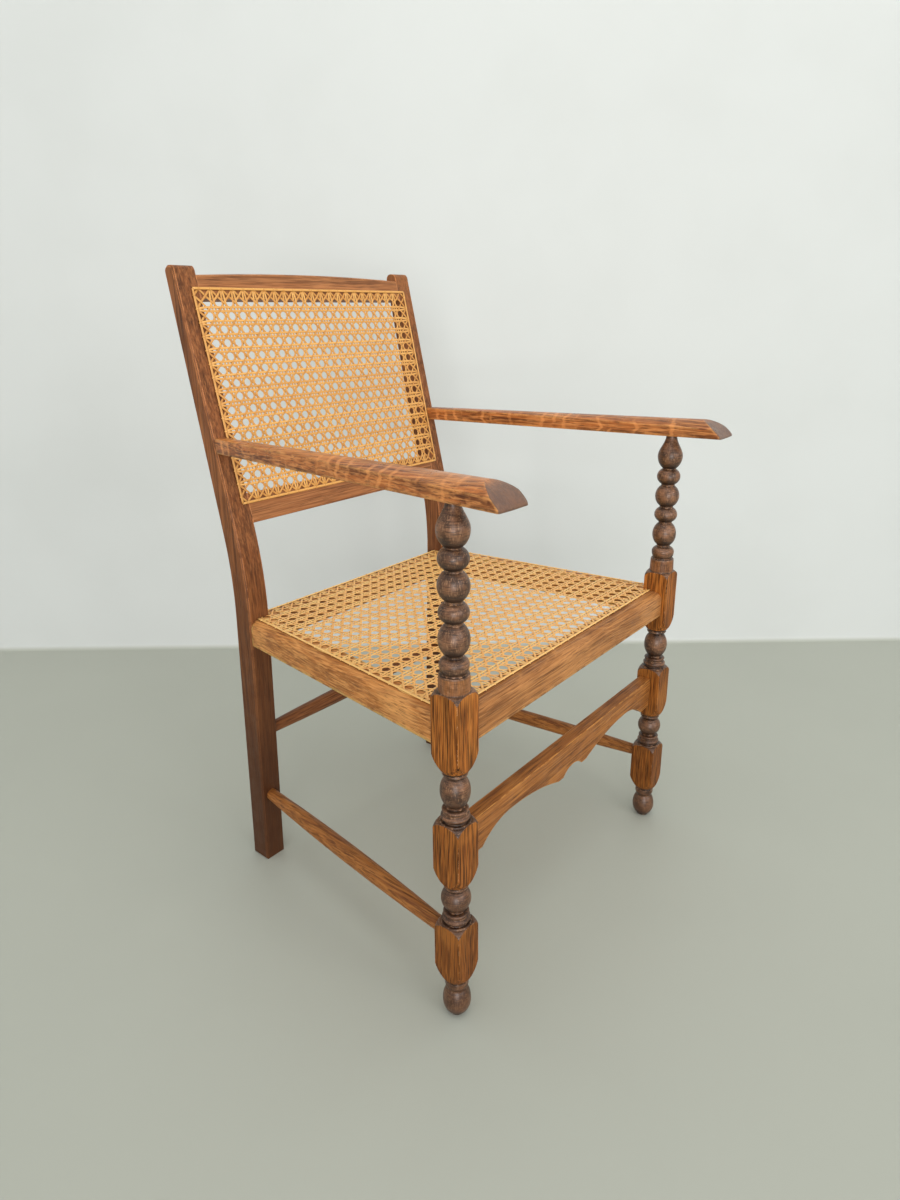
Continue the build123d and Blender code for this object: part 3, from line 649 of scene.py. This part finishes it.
STEP = 18 * MM
x_axis, y_axis, z_axis = np.eye(3)
front_strip, rear_strip, side_strip = (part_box(f"seat_binder_{side}") for side in ("front", "rear", "left"))
half_strip = (front_strip[1].y - front_strip[0].y) / 2
hole_front = front_strip[0].y + half_strip
hole_rear = rear_strip[0].y + half_strip
left_outline = [
    (front_strip[1].x, hole_front),
    (side_strip[1].x - half_strip, side_strip[0].y),
    (side_strip[0].x + half_strip, side_strip[1].y),
    (rear_strip[1].x, hole_rear),
]
seat_outline = left_outline + [(-x, y) for x, y in reversed(left_outline)]
seat_rows = round((hole_rear - hole_front) / STEP)
seat_half = math.ceil(side_strip[1].x / STEP)
seat_origin = np.array([0, 0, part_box("seat_cane")[0].z])
seat = Panel(seat_origin, x_axis, y_axis, z_axis, seat_outline, (0.0, hole_front),
             (STEP, (hole_rear - hole_front) / seat_rows))
seat.weave(range(-seat_half - 1, seat_half + 1), range(1, seat_rows - 1))
dress(seat.strips.build("seat_weave", seat_cane), ["seat_cane"])
border("seat", seat, 2, ("front", "rear", "right", "left"), seat_cane)

# Caned back, leaning at the rake at which a sheet of its thickness fills the CAD box

SHEET = 1.6 * MM
BACK_COLUMNS, BACK_ROWS = 23, 16
low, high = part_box("back_cane")
rake = 0.0
for refine in range(4):
    rise = high.z - low.z - SHEET * math.sin(rake)
    rake = math.atan2(high.y - low.y - SHEET * math.cos(rake), rise)
back_up = np.array([0, math.sin(rake), math.cos(rake)])
back_out = np.array([0, -math.cos(rake), math.sin(rake)])
back_origin = np.array([0, low.y + SHEET * math.cos(rake), low.z])
tall = rise / math.cos(rake) - half_strip
wide = high.x - half_strip
back_outline = [(-wide, half_strip), (wide, half_strip), (wide, tall), (-wide, tall)]
back = Panel(back_origin, x_axis, back_up, back_out, back_outline, back_outline[0],
             (2 * wide / BACK_COLUMNS, (tall - half_strip) / BACK_ROWS))
back.weave(range(1, BACK_COLUMNS - 1), range(1, BACK_ROWS - 1))
dress(back.strips.build("back_weave", back_cane), ["back_cane"])
border("back", back, 1, ("top", "lower", "right", "left"), back_cane)

# Stage: a floor that sweeps up into a wall behind the chair, square to the camera

HEADING, PITCH, ROLL = 0.878566, 0.314652, -0.011733
WALL, SWEEP, REACH, WALL_HEIGHT = 0.76, 0.012, 7.0, 5.0
FLOOR_PAINT, WALL_PAINT = srgb(180, 183, 171), srgb(213, 216, 213)
ahead = Vector((math.sin(HEADING), math.cos(HEADING), 0))
level = Vector((math.cos(HEADING), -math.sin(HEADING), 0))
slope = [(-REACH, 0.0)]
for angle in np.linspace(0, math.pi / 2, 20):
    slope.append((WALL - SWEEP + SWEEP * math.sin(angle), SWEEP - SWEEP * math.cos(angle)))
slope.append((WALL, WALL_HEIGHT))
sweep_points = [ahead * d + level * w + Vector((0, 0, z)) for d, z in slope for w in (-REACH, REACH)]
sweep_faces = [[2 * k, 2 * k + 1, 2 * k + 3, 2 * k + 2] for k in range(len(slope) - 1)]
sweep_paint = backdrop("backdrop", FLOOR_PAINT, WALL_PAINT, 0.0, SWEEP)
floor = make_object("floor", sweep_points, sweep_faces, sweep_paint)
floor.data.shade_smooth()

# Soft square lights, each with its place, width and power, aimed at the seat

AIM = Vector((0, 0, 0.4))
LIGHTS = {
    "overhead": ((-0.5, -0.6, 2.9), 2.6, 21),
    "window": ((-0.4, -6.0, 2.6), 3.5, 93),
    "fill": ((-4.6, -3.9, 1.0), 2.6, 160),
}
SURROUND, SURROUND_STRENGTH = (1.0, 1.0, 1.0, 1.0), 0.63
for name, (place, size, power) in LIGHTS.items():
    data = bpy.data.lights.new(name, "AREA")
    data.size, data.energy = size, power
    lamp = bpy.data.objects.new(name, data)
    lamp.location = place
    lamp.rotation_euler = (AIM - Vector(place)).to_track_quat("-Z", "Y").to_euler()
    bpy.context.scene.collection.objects.link(lamp)
world = bpy.data.worlds.new("studio")
world.use_nodes = True
surround = world.node_tree.nodes["Background"].inputs
surround["Color"].default_value = SURROUND
surround["Strength"].default_value = SURROUND_STRENGTH
bpy.context.scene.world = world

# Camera, placed from the middle of the front posts, with lengths in the picture in pixels of the photo

CAMERA_X, CAMERA_Y, CAMERA_Z = -0.81469, -0.45820, 0.80280
PICTURE_HEIGHT, FOCAL, OFF_RIGHT, OFF_DOWN = 1200, 773.909, 4.44, 34.53
SENSOR, NEAREST = 36.0, 0.05
sight = ahead * math.cos(PITCH) - Vector((0, 0, math.sin(PITCH)))
over = level.cross(sight)
right = level * math.cos(ROLL) + over * math.sin(ROLL)
top = over * math.cos(ROLL) - level * math.sin(ROLL)
camera_data = bpy.data.cameras.new("camera")
camera_data.sensor_width = SENSOR
camera_data.lens = SENSOR * FOCAL / PICTURE_HEIGHT
camera_data.shift_x, camera_data.shift_y = OFF_RIGHT / PICTURE_HEIGHT, -OFF_DOWN / PICTURE_HEIGHT
camera_data.clip_start = NEAREST
camera = bpy.data.objects.new("camera", camera_data)
stand = Vector((CAMERA_X, (front_low.y + front_high.y) / 2 + CAMERA_Y, CAMERA_Z))
camera.matrix_world = Matrix.Translation(stand) @ Matrix((right, top, -sight)).transposed().to_4x4()
bpy.context.scene.collection.objects.link(camera)
bpy.context.scene.camera = camera
bpy.context.scene.view_settings.view_transform = "Standard"
